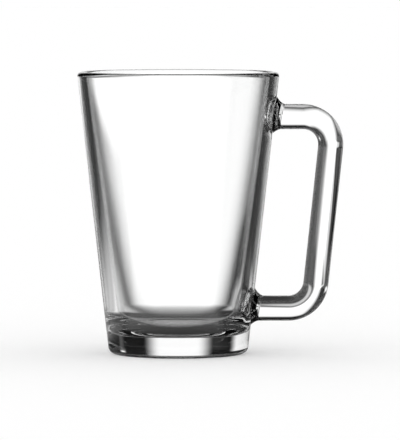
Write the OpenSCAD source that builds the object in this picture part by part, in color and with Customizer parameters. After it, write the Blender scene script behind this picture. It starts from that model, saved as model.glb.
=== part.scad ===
// Clear glass coffee mug: a tapered cup with a heavy base, and a bent glass rod as its handle.
// The cup's axis is Z, it stands on z = 0, and the handle lies in the XZ plane on the +X side.

/* [Cup] */
// Height of the cup, from the table to the top of the rim
cup_h = 118; // [105:1:135]
// Outer diameter that the wall's taper reaches at the height of the rim
rim_d = 85; // [78:0.5:92]
// Outer diameter that the wall's taper reaches at the table
base_d = 58; // [52:0.5:64]
// Thickness of the wall at the rim
rim_wall = 3.7; // [3:0.1:5]
// Thickness of the wall at the height of the inside floor
floor_wall = 5.6; // [4:0.1:8]
// Height of the inside floor above the table
floor_h = 8.5; // [7:0.5:13]
// Width of the oval corner between the inside floor and the wall
corner_w = 13; // [6:0.5:16]
// Height of that corner
corner_h = 12; // [6:0.5:18]
// Radius of the round heel, where the outer wall turns under the base
heel_r = 3.2; // [2:0.1:4.5]
// Width of the flat ring that the mug stands on
ring_w = 2.6; // [1.8:0.1:4]
// Height of the shallow hollow inside that ring
hollow_h = 1; // [0.5:0.1:2]
// Width of the slope from the ring up into the hollow
hollow_slope_w = 1.6; // [0.8:0.1:3]

/* [Handle] */
// Diameter of the glass rod
rod_d = 10.6; // [8:0.1:13]
// Distance from the top of the rim down to the upper bar's axis
rim_to_bar = 18.8; // [15:0.2:28]
// Height of the lower bar's axis above the table
lower_bar_h = 19; // [15:0.2:30]
// Gap for the fingers between the wall and the grip, at the height of the upper bar's axis
finger_gap_top = 19.4; // [16:0.2:26]
// Gap for the fingers between the wall and the grip, at the height of the lower bar's axis
finger_gap_bottom = 20; // [16:0.2:26]
// Radius of the rod's centre line in its two bends
bend_r = 11.6; // [8:0.2:14]
// Radius of the flare that spreads each end of the rod onto the wall
flare_r = 2.8; // [1.5:0.1:4.5]

/* [Hidden] */
$fn = 96;
glass_colour = [0.86, 0.93, 0.92, 0.4];

// Outer wall, a straight line in the section, and its angle from the cup's axis
function out_r(z) = base_d / 2 + (rim_d - base_d) / 2 * z / cup_h;
out_a = atan((rim_d - base_d) / 2 / cup_h);

// Inner wall, from the rim down to the floor
in_rim_r = rim_d / 2 - rim_wall;
in_floor_r = out_r(floor_h) - floor_wall;
function in_r(z) = in_floor_r + (in_rim_r - in_floor_r) * (z - floor_h) / (cup_h - floor_h);
in_a = atan((in_rim_r - in_floor_r) / (cup_h - floor_h));

// The lip is the circle that touches both walls and the height of the rim
lip_r = rim_wall / (1 / cos(out_a) + 1 / cos(in_a) + tan(out_a) - tan(in_a));
lip_c = [out_r(cup_h - lip_r) - lip_r / cos(out_a), cup_h - lip_r];
// The heel is the circle that touches the table and the outer wall
heel_c = [out_r(heel_r) - heel_r / cos(out_a), heel_r];
// The inside corner is the upright oval that touches the floor and the inner wall
corner_top = floor_h + corner_h;
corner_x = in_r(corner_top) - norm([corner_w * cos(in_a), corner_h * sin(in_a)]) / cos(in_a);
corner_from = atan(tan(in_a) * corner_h / corner_w);
// Outer and upper edges of the hollow under the base
hollow_r = heel_c[0] - ring_w;
hollow_top_r = hollow_r - hollow_slope_w;

// Corners where the line of the grip crosses the lines of the two bars
rod_r = rod_d / 2;
upper_bar_h = cup_h - rim_to_bar;
grip_top_x = out_r(upper_bar_h) + finger_gap_top + rod_r;
grip_bottom_x = out_r(lower_bar_h) + finger_gap_bottom + rod_r;
// The grip leans in towards the base, so the rod turns by more than a right angle at the top
lean = atan((grip_top_x - grip_bottom_x) / (upper_bar_h - lower_bar_h));
upper_turn = 90 + lean;
lower_turn = 90 - lean;
upper_bend_c = [grip_top_x - bend_r * tan(upper_turn / 2), upper_bar_h - bend_r];
lower_bend_c = [grip_bottom_x - bend_r * tan(lower_turn / 2), lower_bar_h + bend_r];
grip_top = upper_bend_c + bend_r * [cos(lean), -sin(lean)];
grip_bottom = lower_bend_c + bend_r * [cos(lean), -sin(lean)];

// Number of straight steps in each arc of a section
arc_steps = 12;
// Overrun of the cut that shapes the rod's ends
over = 5;
// The straight lengths of the rod are thinner than its bends by this step, too little to see, and
// reach this far into them, so that each length ends inside its bend
step = 0.02;
reach = 0.1;
// A flare's throat is thinner than the rod by this much all round, so that it starts inside the bar
throat_sink = 0.1;
// A flare's mouth runs this far into the wall, which is round and curves away at its sides
mouth_root = 4;

// Points of an arc about a centre, from one angle to another
function arc(centre, radius, from, to) = [
    for (i = [0:arc_steps]) let (a = from + (to - from) * i / arc_steps)
        centre + radius * [cos(a), sin(a)]
];

// Points of the inside corner, from the inner wall down to the floor
function corner() = [
    for (i = [0:arc_steps]) let (a = corner_from + (90 - corner_from) * i / arc_steps)
        [corner_x + corner_w * cos(a), corner_top - corner_h * sin(a)]
];

// Half of the glass section of the cup, from the middle of the base round to the middle of the floor
module cup_section() {
    polygon(concat(
        [[0, hollow_h], [hollow_top_r, hollow_h], [hollow_r, 0]],
        arc(heel_c, heel_r, -90, -out_a),
        arc(lip_c, lip_r, -out_a, 180 - in_a),
        corner(),
        [[0, floor_h]]
    ));
}

// The space that the cup fills from outside, past the rim and the table, which the rod's ends fit
module cup_outside() {
    rotate_extrude()
        polygon([[0, -over], [out_r(-over), -over], [out_r(cup_h + over), cup_h + over], [0, cup_h + over]]);
}

// A straight bar of the rod along +X, from inside the wall to its bend, with its end flared
module bar(height, bend_x) {
    wall_x = out_r(height);
    translate([wall_x / 2, height, 0])
        rotate([0, 90, 0]) cylinder(h = bend_x + reach - wall_x / 2, r = rod_r);
    flare(wall_x + flare_r / cos(out_a), height);
}

// The flare at a bar's end, a trumpet square to the wall, from its throat on the bar's axis
module flare(throat_x, height) {
    mouth_r = rod_r - throat_sink + flare_r;
    translate([throat_x, height, 0])
        rotate([0, -90, -out_a])
            rotate_extrude()
                polygon(concat(
                    [[0, 0]],
                    arc([mouth_r, 0], flare_r, 180, 90),
                    [[mouth_r, flare_r + mouth_root], [0, flare_r + mouth_root]]
                ));
}

// A bend of the rod about a centre, from a start angle
module bend(centre, start, turn) {
    translate([centre[0], centre[1], 0])
        rotate([0, 0, start])
            rotate_extrude(angle = turn)
                translate([bend_r, 0]) circle(rod_r + step);
}

// The straight grip between the two bends
module grip() {
    translate([grip_bottom[0], grip_bottom[1], 0])
        rotate([-90, 0, -lean])
            translate([0, 0, -reach]) cylinder(h = norm(grip_top - grip_bottom) + 2 * reach, r = rod_r);
}

module cup() {
    color(glass_colour) rotate_extrude() cup_section();
}

// The rod is drawn flat, with its height along Y, then stood up
module handle() {
    color(glass_colour)
        difference() {
            rotate([90, 0, 0])
                union() {
                    bar(upper_bar_h, upper_bend_c[0]);
                    bend(upper_bend_c, -lean, upper_turn);
                    grip();
                    bend(lower_bend_c, -90, lower_turn);
                    bar(lower_bar_h, lower_bend_c[0]);
                }
            cup_outside();
        }
}

cup();
handle();
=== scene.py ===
import math

import bmesh
import bpy
import numpy as np
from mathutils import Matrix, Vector


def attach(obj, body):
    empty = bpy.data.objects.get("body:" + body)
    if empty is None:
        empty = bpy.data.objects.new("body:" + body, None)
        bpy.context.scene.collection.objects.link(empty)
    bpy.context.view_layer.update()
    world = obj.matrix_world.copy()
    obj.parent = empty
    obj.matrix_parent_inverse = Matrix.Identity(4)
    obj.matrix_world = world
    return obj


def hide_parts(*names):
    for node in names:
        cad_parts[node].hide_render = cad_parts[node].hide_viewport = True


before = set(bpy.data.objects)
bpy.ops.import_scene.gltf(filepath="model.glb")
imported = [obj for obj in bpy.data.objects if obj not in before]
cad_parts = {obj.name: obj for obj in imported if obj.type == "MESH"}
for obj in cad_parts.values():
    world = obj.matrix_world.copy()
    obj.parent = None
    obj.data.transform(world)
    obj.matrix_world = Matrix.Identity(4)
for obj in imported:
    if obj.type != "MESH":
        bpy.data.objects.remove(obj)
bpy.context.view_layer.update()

MM = 0.001

# Cup: its height, the outer taper at the rim and at the table, the wall, the inside floor and its
# corner, the heel, the ring that the mug stands on, and the hollow in it with its rounded edges
CUP_H = 118 * MM
RIM_R = 42.5 * MM
BASE_R = 29 * MM
RIM_WALL = 3.7 * MM
FLOOR_WALL = 5.6 * MM
FLOOR_H = 8.5 * MM
CORNER_W = 13 * MM
CORNER_H = 12 * MM
HEEL_R = 3.2 * MM
RING_W = 2.6 * MM
HOLLOW_H = 1 * MM
HOLLOW_SLOPE_W = 1.6 * MM
HOLLOW_ROUND = 0.4 * MM

# Handle: the rod, the heights of its two bars, the gaps for the fingers, and the bends
ROD_R = 5.3 * MM
UPPER_BAR_H = CUP_H - 18.8 * MM
LOWER_BAR_H = 19 * MM
FINGER_GAP_TOP = 19.4 * MM
FINGER_GAP_BOTTOM = 20 * MM
BEND_R = 11.6 * MM

# Flare of a bar's end: how far it spreads over the wall, and how long it is along the bar. Each is
# the size at the bar's sides, and then what it gains above the bar and loses below.
SPREAD = 2.4 * MM
SPREAD_ABOVE = 0.7 * MM
FLARE_L = 3.3 * MM
FLARE_L_ABOVE = 0.4 * MM
# The middle point of the flare's curve, as shares of its length along the bar and of its spread
FLARE_ALONG_SHARE = 0.5
FLARE_OUT_SHARE = 0.15
# The swept bar starts this far from the wall, and a soft crease this wide marks the flare's end
BAR_START = 6.5 * MM
CREASE_W = 0.15 * MM
# Swelling of the inner wall behind each joint, where the hot rod was pressed on
SWELL_R = 9 * MM
SWELL_DEPTH = 0.6 * MM

# How finely the meshes are cut: the sides of the cup and of the rod, the steps in a rounded corner,
# and the rows of faces up the walls, below the lower bar, between the bars and above the upper one
AROUND_CUP = 240
AROUND_ROD = 72
CORNER_STEPS = 24
ROWS_BELOW = 9
ROWS_BETWEEN = 50
ROWS_ABOVE = 10
ROW_H = (UPPER_BAR_H - LOWER_BAR_H) / ROWS_BETWEEN
# A block of wall faces gives way to each joint. It reaches this many rows and columns each way from
# the bar's axis, so that as many vertices lie round it as the rod has sides.
BLOCK_ROWS = 6
BLOCK_COLUMNS = 12
# Rings of faces from that block to the rod's print on the wall, inside the print and along a flare
WALL_RINGS = 8
PRINT_RINGS = 6
FLARE_RINGS = 36
# Vertices this close are one
WELD = 0.001 * MM

# Glass: its tint and index, then the waves that pressing leaves in it, as how much they stretch up
# the wall, how many there are to a metre, how much finer detail they have and how deep they are
TINT = (0.998, 1, 0.999, 1)
INDEX = 1.51
WAVE_STRETCH = 0.22
WAVES = 95
WAVE_DETAIL = 1.5
WAVE_DEPTH = 0.035 * MM
# Places of the two materials in each piece's list
CLEAR, FUSED = 0, 1

# The photograph's viewpoint, the point that it aims at, the height of its frame there, the width of
# the camera's sensor in mm, and how far the camera sees
EYE_DISTANCE = 1925 * MM
EYE_H = 168 * MM
AIM = Vector((9.1 * MM, 0, 55.9 * MM))
FRAME_H = 184.1 * MM
SENSOR = 36
SIGHT = 40

# Reach of the floor each way from the mug
FLOOR_REACH = 12
# How often light may turn on its way, which is many times where it crosses one wall after another
BOUNCES = 32
MIRROR_BOUNCES = 16
WHITE = (1, 1, 1, 1)

# Plain light on matt surfaces, the glow of the dim parts of the room, and the dim glow painted on the
# floor where glass sees it
ROOM_LIGHT = 1.0
DIM_ROOM = 0.006
PAINTED_FLOOR_GLOW = 0.04
# What the glass sees lit round the room: first and last bearing, softness of the sides, lowest and
# highest elevation, softness there and brightness. Bearings start at the backdrop, +Y, and grow
# towards -X, which is the photograph's left. Angles are in degrees.
LIT_ROOM = {
    "backdrop": (-14.8, 15.8, 5.5, -60, 29, 5, 1.05),
    "left_panel": (40, 100, 5, 3, 9, 1.5, 1.0),
    "right_panel": (-118, -83, 4, 4, 10, 2, 1.0),
    "small_right_panel": (-44, -38.5, 2.2, 7, 14, 4, 1.3),
    "faint_left": (20, 38, 6, -2, 2.5, 1.5, 0.06),
    "front": (104, 236, 9, 1, 22, 6, 1.15),
}
# Pools of light painted on the floor as glow, which glass alone sees: first and last bearing, softness
# of the sides, the distances in mm from the cup's axis over which it brightens and then fades, and
# brightness. The dark near the cup is painted shadow. What is painted past the floor's reach has no end.
NO_END = (30000, 40000)
PAINTED_FLOOR_LIGHT = {
    "backdrop": (-13.7, 13.8, 6.2, (30, 190), NO_END, 1.05),
    "far_left": (10, 27, 5, (1000, 1400), NO_END, 0.7),
    "behind_handle": (-37, -22, 4, (70, 95), (190, 280), 0.55),
    "back_right": (-25, -14, 4, (450, 600), (1000, 1400), 0.15),
    "back_left": (22, 56, 6, (52, 78), (120, 420), 0.5),
    "left": (58, 98, 7, (45, 90), NO_END, 0.85),
    "front": (105, 237, 10, (62, 86), (1500, 3000), 1.2),
}


def out_r(z):
    """Radius of the outer wall at a height."""
    return BASE_R + (RIM_R - BASE_R) * z / CUP_H


IN_RIM_R = RIM_R - RIM_WALL
IN_FLOOR_R = out_r(FLOOR_H) - FLOOR_WALL


def in_r(z):
    """Radius of the inner wall at a height."""
    return IN_FLOOR_R + (IN_RIM_R - IN_FLOOR_R) * (z - FLOOR_H) / (CUP_H - FLOOR_H)


def within_wall_r(z):
    """Radius half-way through the wall at a height."""
    return (out_r(z) + in_r(z)) / 2


# Angles of the two walls from the cup's axis, and the lip, a circle that touches both and the rim
OUT_A = math.atan((RIM_R - BASE_R) / CUP_H)
IN_A = math.atan((IN_RIM_R - IN_FLOOR_R) / (CUP_H - FLOOR_H))
LIP_R = RIM_WALL / (1 / math.cos(OUT_A) + 1 / math.cos(IN_A) + math.tan(OUT_A) - math.tan(IN_A))
# Distance of the round heel's centre from the cup's axis
HEEL_C = out_r(HEEL_R) - HEEL_R / math.cos(OUT_A)


class Wire:
    """A socket of a node tree. A sum on wires adds Math nodes, so a formula reads as Python."""

    def __init__(self, tree, socket):
        self.tree = tree
        self.socket = socket

    def maths(self, operation, *values):
        """A Math node on values, which are wires or numbers."""
        return self.tree.node("ShaderNodeMath", {"operation": operation}, dict(enumerate(values)))

    def __add__(self, other):
        return self.maths("ADD", self, other)

    def __sub__(self, other):
        return self.maths("SUBTRACT", self, other)

    def __rsub__(self, other):
        return self.maths("SUBTRACT", other, self)

    def __mul__(self, other):
        return self.maths("MULTIPLY", self, other)

    def __truediv__(self, other):
        return self.maths("DIVIDE", self, other)

    def __rtruediv__(self, other):
        return self.maths("DIVIDE", other, self)

    def __neg__(self):
        return self.maths("MULTIPLY", self, -1)

    def __abs__(self):
        return self.maths("ABSOLUTE", self)

    __radd__ = __add__
    __rmul__ = __mul__

    def root(self):
        """The square root."""
        return self.maths("SQRT", self)

    def wrap(self, top, bottom):
        """The value moved by whole spans until it lies between bottom and top."""
        return self.maths("WRAP", self, top, bottom)

    def rise(self, low, high):
        """0 below low, 1 above high and a soft step between them; it falls where low is above high."""
        return self.tree.node(
            "ShaderNodeMapRange", {"interpolation_type": "SMOOTHSTEP"},
            {"Value": self, "From Min": low, "From Max": high})


class Tree:
    """A node tree being built, for a shader, a world or geometry."""

    def __init__(self, tree):
        self.tree = tree
        self.tree.nodes.clear()

    def node(self, kind, settings=None, inputs=None, output=0):
        """Adds a node, makes its settings, feeds its sockets and returns one of its outputs."""
        made = self.tree.nodes.new(kind)
        for name, value in (settings or {}).items():
            setattr(made, name, value)
        for name, value in (inputs or {}).items():
            if isinstance(value, Wire):
                self.tree.links.new(value.socket, made.inputs[name])
            else:
                made.inputs[name].default_value = value
        return Wire(self, made.outputs[output]) if made.outputs else None

    def split(self, vector):
        """Wires of a vector's X, Y and Z."""
        x = self.node("ShaderNodeSeparateXYZ", inputs={"Vector": vector})
        return [Wire(self, socket) for socket in x.socket.node.outputs]

    def group_inputs(self, sockets):
        """Names the group's inputs, given as name and type, and returns their wires by name."""
        for name, kind in sockets.items():
            self.tree.interface.new_socket(name, in_out="INPUT", socket_type=kind)
        made = self.tree.nodes.new("NodeGroupInput")
        return {name: Wire(self, made.outputs[name]) for name in sockets}

    def group_output(self, geometry):
        """Ends the group with its geometry."""
        self.tree.interface.new_socket("Geometry", in_out="OUTPUT", socket_type="NodeSocketGeometry")
        self.node("NodeGroupOutput", inputs={"Geometry": geometry})


def clear_glass():
    """Colourless pressed glass, with the faint long waves that pressing leaves in a wall."""
    material = bpy.data.materials.new("clear_glass")
    material.use_nodes = True
    tree = Tree(material.node_tree)
    place = tree.node("ShaderNodeTexCoord", output="Object")
    stretched = tree.node("ShaderNodeMapping", inputs={"Vector": place, "Scale": (1, 1, WAVE_STRETCH)})
    waves = tree.node(
        "ShaderNodeTexNoise", inputs={"Vector": stretched, "Scale": WAVES, "Detail": WAVE_DETAIL})
    normal = tree.node("ShaderNodeBump", inputs={"Height": waves, "Strength": 1, "Distance": WAVE_DEPTH})
    glass = tree.node(
        "ShaderNodeBsdfPrincipled",
        inputs={"Base Color": TINT, "Roughness": 0, "IOR": INDEX, "Transmission Weight": 1,
                "Normal": normal})
    tree.node("ShaderNodeOutputMaterial", inputs={"Surface": glass})
    return material


def fused_joint():
    """The faces where the hot rod and the wall became one glass, which light passes unbent."""
    material = bpy.data.materials.new("fused_joint")
    material.use_nodes = True
    tree = Tree(material.node_tree)
    clear = tree.node("ShaderNodeBsdfTransparent", inputs={"Color": WHITE})
    tree.node("ShaderNodeOutputMaterial", inputs={"Surface": clear})
    return material


def rounded(tree, given, line):
    """The nodes that round each corner of a line by its own radius."""
    return tree.node(
        "GeometryNodeFilletCurve", {"mode": "POLY"},
        {"Curve": given[line], "Count": given["Corner Steps"],
         "Radius": tree.node("GeometryNodeInputRadius")})


def finish_tree(tree, geometry, material):
    """Ends a tree of Geometry Nodes with real faces in a material."""
    real = tree.node("GeometryNodeRealizeInstances", inputs={"Geometry": geometry})
    tree.group_output(
        tree.node("GeometryNodeSetMaterial", inputs={"Geometry": real, "Material": material}))


def turning_nodes():
    """Geometry Nodes that round the corners of an outline and turn it about the Z axis."""
    tree = Tree(bpy.data.node_groups.new("turned_outline", "GeometryNodeTree"))
    given = tree.group_inputs({
        "Outline": "NodeSocketGeometry", "Corner Steps": "NodeSocketInt",
        "Segments Around": "NodeSocketInt", "Turning Radius": "NodeSocketFloat",
        "Glass": "NodeSocketMaterial"})
    offset = tree.node("ShaderNodeCombineXYZ", inputs={"X": -given["Turning Radius"]})
    half_turn = (math.pi, 0, 0)
    from_circle = tree.node(
        "GeometryNodeTransform",
        inputs={"Geometry": rounded(tree, given, "Outline"), "Translation": offset,
                "Rotation": half_turn})
    circle = tree.node(
        "GeometryNodeCurvePrimitiveCircle",
        inputs={"Resolution": given["Segments Around"], "Radius": given["Turning Radius"]})
    turned = tree.node(
        "GeometryNodeCurveToMesh", inputs={"Curve": circle, "Profile Curve": from_circle})
    welded = tree.node("GeometryNodeMergeByDistance", inputs={"Geometry": turned, "Distance": WELD})
    finish_tree(tree, welded, given["Glass"])
    return tree.tree


def sweeping_nodes():
    """Geometry Nodes that round the corners of a route and sweep a round rod along it."""
    tree = Tree(bpy.data.node_groups.new("swept_rod", "GeometryNodeTree"))
    given = tree.group_inputs({
        "Route": "NodeSocketGeometry", "Corner Steps": "NodeSocketInt",
        "Sides": "NodeSocketInt", "Rod Radius": "NodeSocketFloat",
        "Glass": "NodeSocketMaterial"})
    section = tree.node(
        "GeometryNodeCurvePrimitiveCircle",
        inputs={"Resolution": given["Sides"], "Radius": given["Rod Radius"]})
    swept = tree.node(
        "GeometryNodeCurveToMesh",
        inputs={"Curve": rounded(tree, given, "Route"), "Profile Curve": section})
    finish_tree(tree, swept, given["Glass"])
    return tree.tree


def shaped(name, corners, nodes, **inputs):
    """A mesh that Geometry Nodes make of a line with corners, given as point and rounding radius."""
    line = bpy.data.curves.new(name, "CURVE")
    line.dimensions = "3D"
    spline = line.splines.new("POLY")
    spline.points.add(len(corners) - 1)
    for made, (point, rounding) in zip(spline.points, corners):
        made.co = (*point, 1)
        made.radius = rounding
    draft = bpy.data.objects.new(name, line)
    bpy.context.scene.collection.objects.link(draft)
    modifier = draft.modifiers.new(name, "NODES")
    modifier.node_group = nodes
    for socket in nodes.interface.items_tree:
        if socket.in_out == "INPUT" and socket.name in inputs:
            modifier[socket.identifier] = inputs[socket.name]
    mesh = bpy.data.meshes.new_from_object(
        draft.evaluated_get(bpy.context.evaluated_depsgraph_get()))
    bpy.data.objects.remove(draft)
    return mesh


def inside_corner():
    """Points of the oval corner inside the cup, from the wall down to the floor."""
    middle_h = FLOOR_H + CORNER_H
    reach = math.hypot(CORNER_W * math.cos(IN_A), CORNER_H * math.sin(IN_A)) / math.cos(IN_A)
    turn_from = math.atan(math.tan(IN_A) * CORNER_H / CORNER_W)
    points = []
    for i in range(CORNER_STEPS + 1):
        turn = turn_from + (math.pi / 2 - turn_from) * i / CORNER_STEPS
        r = in_r(middle_h) - reach + CORNER_W * math.cos(turn)
        points.append((r, middle_h - CORNER_H * math.sin(turn), 0))
    return points


def cup_outline():
    """Corners of the cup's section, each as (radius, height, 0) and how much it is rounded."""
    hollow_r = HEEL_C - RING_W
    rows = [LOWER_BAR_H + i * ROW_H for i in range(-ROWS_BELOW, ROWS_BETWEEN + ROWS_ABOVE + 1)]
    outer_rows = [((out_r(z), z, 0), 0) for z in rows if z > HEEL_R]
    inner_rows = [((in_r(z), z, 0), 0) for z in reversed(rows) if z > FLOOR_H + CORNER_H]
    return [
        ((0, HOLLOW_H, 0), 0),
        ((hollow_r - HOLLOW_SLOPE_W, HOLLOW_H, 0), HOLLOW_ROUND),
        ((hollow_r, 0, 0), HOLLOW_ROUND),
        ((BASE_R, 0, 0), HEEL_R),
        *outer_rows,
        ((RIM_R, CUP_H, 0), LIP_R),
        ((IN_RIM_R, CUP_H, 0), LIP_R),
        *inner_rows,
        *[(point, 0) for point in inside_corner()],
        ((0, FLOOR_H, 0), 0),
    ]


def rod_route():
    """Corners of the rod's centre line between the two flares, and the radius of its bends."""
    top_x = out_r(UPPER_BAR_H) + FINGER_GAP_TOP + ROD_R
    bottom_x = out_r(LOWER_BAR_H) + FINGER_GAP_BOTTOM + ROD_R
    return [
        ((out_r(UPPER_BAR_H) + BAR_START, 0, UPPER_BAR_H), 0),
        ((top_x, 0, UPPER_BAR_H), BEND_R),
        ((bottom_x, 0, LOWER_BAR_H), BEND_R),
        ((out_r(LOWER_BAR_H) + BAR_START, 0, LOWER_BAR_H), 0),
    ]


def on_wall(y, z):
    """The point of the outer wall, on the handle's side, at a distance across and a height."""
    return Vector((math.sqrt(out_r(z) ** 2 - y ** 2), y, z))


def spread(angle):
    """How far the flare reaches over the wall, at an angle round the bar; 90 degrees is above it."""
    return SPREAD + SPREAD_ABOVE * math.sin(angle)


def round_bar(bar_h, angle, radius):
    """Distance across and height of a point round a bar."""
    return radius * math.cos(angle), bar_h + radius * math.sin(angle)


def print_point(bar_h, angle, share):
    """A point of the rod's print on the wall, at a share of the way from its middle to its edge."""
    return on_wall(*round_bar(bar_h, angle, share * (ROD_R + spread(angle))))


def flare_point(bar_h, angle, share):
    """A point of the flare, at a share of the way from the wall to the plain bar."""
    edge = print_point(bar_h, angle, 1)
    length = FLARE_L + FLARE_L_ABOVE * math.sin(angle)
    wall_x = on_wall(*round_bar(bar_h, angle, ROD_R)).x
    by_wall = (1 - share) ** 2
    by_bar = share ** 2
    between = 1 - by_wall - by_bar
    x = by_wall * edge.x + between * (wall_x + FLARE_ALONG_SHARE * length) + by_bar * (wall_x + length)
    out = (by_wall + FLARE_OUT_SHARE * between) * spread(angle)
    return Vector((x, *round_bar(bar_h, angle, ROD_R + out)))


def angle_of(vertex, bar_h):
    """Angle of a vertex round a bar, from 0 up to a full turn."""
    just_under_zero = 1e-4
    return (math.atan2(vertex.co.z - bar_h, vertex.co.y) + just_under_zero) % math.tau - just_under_zero


def edge_loop(bm, bar_h):
    """The vertices round the hole in a mesh near a bar, in order of angle."""
    on_edge = {v for e in bm.edges if e.is_boundary for v in e.verts if abs(v.co.z - bar_h) < BEND_R}
    return sorted(on_edge, key=lambda v: angle_of(v, bar_h))


def new_loop(bm, points):
    """New vertices at points."""
    return [bm.verts.new(p) for p in points]


def skin(bm, loops, slot):
    """Faces between each closed loop and the next, in a material of the piece's list."""
    for one, other in zip(loops, loops[1:]):
        for i in range(len(one)):
            j = (i + 1) % len(one)
            bm.faces.new((one[i], one[j], other[j], other[i])).material_index = slot


def close_print(bm, edge, bar_h, angles):
    """Fills the rod's print on the wall, inside a loop of its edge, with faces of fused glass."""
    shares = [1 - i / PRINT_RINGS for i in range(1, PRINT_RINGS)]
    loops = [edge] + [new_loop(bm, [print_point(bar_h, a, s) for a in angles]) for s in shares]
    skin(bm, loops, FUSED)
    middle = bm.verts.new(on_wall(0, bar_h))
    for i, vertex in enumerate(loops[-1]):
        bm.faces.new((vertex, loops[-1][(i + 1) % len(angles)], middle)).material_index = FUSED


def swell(bm, bar_h):
    """Swells the cup's inner wall behind a bar, softly, into a low dome."""
    for vertex in bm.verts:
        x, y, z = vertex.co
        share = math.hypot(y, z - bar_h) / SWELL_R
        if x > 0 and share < 1 and math.hypot(x, y) < within_wall_r(z):
            vertex.co.x -= SWELL_DEPTH * (1 - share ** 2) ** 2


def fuse_to_rod(bm, bar_h, angles):
    """Cuts a block out of the cup's outer wall and leads its mesh in to the edge of the rod's print."""
    half_angle = BLOCK_COLUMNS * math.tau / AROUND_CUP
    half_h = BLOCK_ROWS * ROW_H
    block = []
    for face in bm.faces:
        x, y, z = face.calc_center_median()
        behind_bar = abs(math.atan2(y, x)) < half_angle and abs(z - bar_h) < half_h
        if behind_bar and math.hypot(x, y) > within_wall_r(z):
            block.append(face)
    bmesh.ops.delete(bm, geom=block, context="FACES")
    outer = edge_loop(bm, bar_h)
    inner = [print_point(bar_h, a, 1) for a in angles]
    loops = [outer]
    for step in range(1, WALL_RINGS + 1):
        share = step / WALL_RINGS
        loops.append(new_loop(bm, [
            on_wall(v.co.y + (p.y - v.co.y) * share, v.co.z + (p.z - v.co.z) * share)
            for v, p in zip(outer, inner)]))
    skin(bm, loops, CLEAR)
    close_print(bm, loops[-1], bar_h, angles)


def draw_out(bm, bar_h):
    """Draws the end of a bar out into its flare and closes it on the wall. Returns its angles."""
    end = edge_loop(bm, bar_h)
    angles = [angle_of(v, bar_h) for v in end]
    crease = [flare_point(bar_h, a, 1) + Vector((CREASE_W, 0, 0)) for a in angles]
    shares = [1 - i / FLARE_RINGS for i in range(FLARE_RINGS + 1)]
    loops = [end, new_loop(bm, crease)]
    loops += [new_loop(bm, [flare_point(bar_h, a, s) for a in angles]) for s in shares]
    skin(bm, loops, CLEAR)
    close_print(bm, loops[-1], bar_h, angles)
    return angles


def glass_piece(name, mesh, bm, materials):
    """Writes a finished mesh into a new object, with smooth normals that its clear faces alone set."""
    bmesh.ops.recalc_face_normals(bm, faces=bm.faces)
    mesh.name = name
    mesh.materials.clear()
    for material in materials:
        mesh.materials.append(material)
    bm.to_mesh(mesh)
    bm.free()
    normals = np.zeros((len(mesh.vertices), 3))
    for face in mesh.polygons:
        face.use_smooth = True
        if face.material_index == CLEAR:
            normals[list(face.vertices)] += np.array(face.normal) * face.area
    # Vertices inside a print touch no clear face. Their normals bend no light, so any will do.
    inside_print = np.linalg.norm(normals, axis=1) == 0
    normals[inside_print] = [1, 0, 0]
    normals /= np.linalg.norm(normals, axis=1)[:, None]
    mesh.normals_split_custom_set_from_vertices(normals.tolist())
    piece = bpy.data.objects.new(name, mesh)
    bpy.context.scene.collection.objects.link(piece)
    return piece


def make_mug():
    """The cup and the handle, each a closed piece, which share the faces where they are fused."""
    glass = clear_glass()
    fused = fused_joint()
    rod_mesh = shaped("glass_handle", rod_route(), sweeping_nodes(), **{
        "Corner Steps": CORNER_STEPS, "Sides": AROUND_ROD, "Rod Radius": ROD_R, "Glass": glass})
    rod = bmesh.new()
    rod.from_mesh(rod_mesh)
    angles = {bar_h: draw_out(rod, bar_h) for bar_h in (UPPER_BAR_H, LOWER_BAR_H)}
    handle = glass_piece("glass_handle", rod_mesh, rod, [glass, fused])

    cup_mesh = shaped("glass_cup", cup_outline(), turning_nodes(), **{
        "Corner Steps": CORNER_STEPS, "Segments Around": AROUND_CUP, "Turning Radius": RIM_R,
        "Glass": glass})
    body = bmesh.new()
    body.from_mesh(cup_mesh)
    for bar_h, around in angles.items():
        swell(body, bar_h)
        fuse_to_rod(body, bar_h, around)
    cup = glass_piece("glass_cup", cup_mesh, body, [glass, fused])
    for piece, node in ((cup, "cup"), (handle, "handle")):
        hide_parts(node)
        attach(piece, "root")


def lit_sides(bearing, first, last, soft):
    """1 between two bearings and 0 outside them, with soft sides."""
    away = abs((bearing - (first + last) / 2).wrap(180, -180))
    half = (last - first) / 2
    return away.rise(half + soft, half - soft)


def degrees_of(side, along):
    """The angle in degrees between a way along and a point to its side."""
    return side.maths("ARCTAN2", side, along) * math.degrees(1)


def seen_by_glass(tree):
    """1 where the camera looks through glass or at a reflection in it, and 0 for all other rays."""
    names = ("Is Glossy Ray", "Is Transmission Ray", "Diffuse Depth")
    glossy, through, matt_before = (tree.node("ShaderNodeLightPath", output=name) for name in names)
    return glossy.maths("MAXIMUM", glossy, through) * glossy.maths("LESS_THAN", matt_before, 0.5)


def studio():
    """White to the camera and plain on matt surfaces. Glass sees lit areas in a dim room."""
    world = bpy.data.worlds.new("studio")
    bpy.context.scene.world = world
    world.use_nodes = True
    tree = Tree(world.node_tree)
    x, y, z = tree.split(tree.node("ShaderNodeTexCoord", output="Generated"))
    elevation = degrees_of(z, (x * x + y * y).root())
    bearing = degrees_of(-x, y)
    glow = DIM_ROOM
    for first, last, soft, low, high, edge, bright in LIT_ROOM.values():
        tall = elevation.rise(low - edge, low + edge) * elevation.rise(high + edge, high - edge)
        glow = glow + lit_sides(bearing, first, last, soft) * tall * bright
    glass = seen_by_glass(tree)
    to_camera = tree.node("ShaderNodeLightPath", output="Is Camera Ray")
    light = glass * glow + (1 - glass) * (to_camera + (1 - to_camera) * ROOM_LIGHT)
    background = tree.node("ShaderNodeBackground", inputs={"Color": WHITE, "Strength": light})
    tree.node("ShaderNodeOutputWorld", inputs={"Surface": background})


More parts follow.
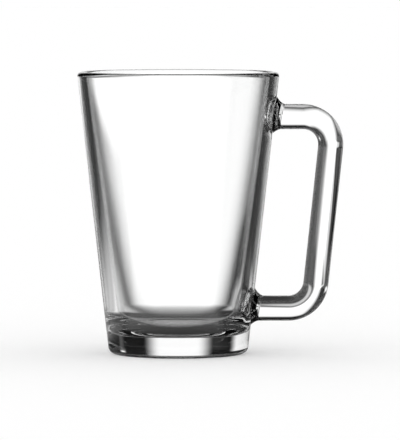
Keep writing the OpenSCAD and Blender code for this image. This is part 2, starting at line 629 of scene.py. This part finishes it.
def floor():
    """A pale floor that keeps the mug's shadow. Glass sees it as a painted dim glow, with pools of
    painted light and a painted shadow near the mug.
    """
    corners = [(x * FLOOR_REACH, y * FLOOR_REACH, 0) for x, y in ((-1, -1), (1, -1), (1, 1), (-1, 1))]
    mesh = bpy.data.meshes.new("floor")
    mesh.from_pydata(corners, [], [(0, 1, 2, 3)])
    plane = bpy.data.objects.new("floor", mesh)
    bpy.context.scene.collection.objects.link(plane)
    material = bpy.data.materials.new("pale_floor")
    material.use_nodes = True
    mesh.materials.append(material)
    tree = Tree(material.node_tree)
    x, y = tree.split(tree.node("ShaderNodeTexCoord", output="Object"))[:2]
    away = (x * x + y * y).root() / MM
    bearing = degrees_of(-x, y)
    # Glass sees the floor as a painted glow: pools of painted light, dark near the cup as a painted
    # shadow
    glow = PAINTED_FLOOR_GLOW
    for first, last, soft, near, far, bright in PAINTED_FLOOR_LIGHT.values():
        painted_pool_reach = away.rise(*near) * away.rise(*reversed(far))
        glow = glow + lit_sides(bearing, first, last, soft) * painted_pool_reach * bright
    painted_floor_glow = tree.node("ShaderNodeEmission", inputs={"Strength": glow})
    matt = tree.node("ShaderNodeBsdfDiffuse", inputs={"Color": WHITE})
    surface = tree.node("ShaderNodeMixShader", inputs={0: seen_by_glass(tree), 1: matt, 2: painted_floor_glow})
    tree.node("ShaderNodeOutputMaterial", inputs={"Surface": surface})


def camera():
    """The camera of the photograph, level across and looking down a little."""
    data = bpy.data.cameras.new("camera")
    eye = bpy.data.objects.new("camera", data)
    bpy.context.scene.collection.objects.link(eye)
    bpy.context.scene.camera = eye
    eye.location = (AIM.x, -EYE_DISTANCE, EYE_H)
    line = AIM - eye.location
    eye.rotation_euler = line.to_track_quat("-Z", "Y").to_euler()
    data.sensor_width = SENSOR
    data.lens = SENSOR * line.length / FRAME_H
    data.clip_end = SIGHT


def light_paths():
    """Plain colours, and light that may turn often enough to cross the glass."""
    scene = bpy.context.scene
    scene.view_settings.view_transform = "Standard"
    scene.cycles.max_bounces = BOUNCES
    scene.cycles.transmission_bounces = BOUNCES
    scene.cycles.transparent_max_bounces = BOUNCES
    scene.cycles.glossy_bounces = MIRROR_BOUNCES


light_paths()
camera()
studio()
floor()
make_mug()
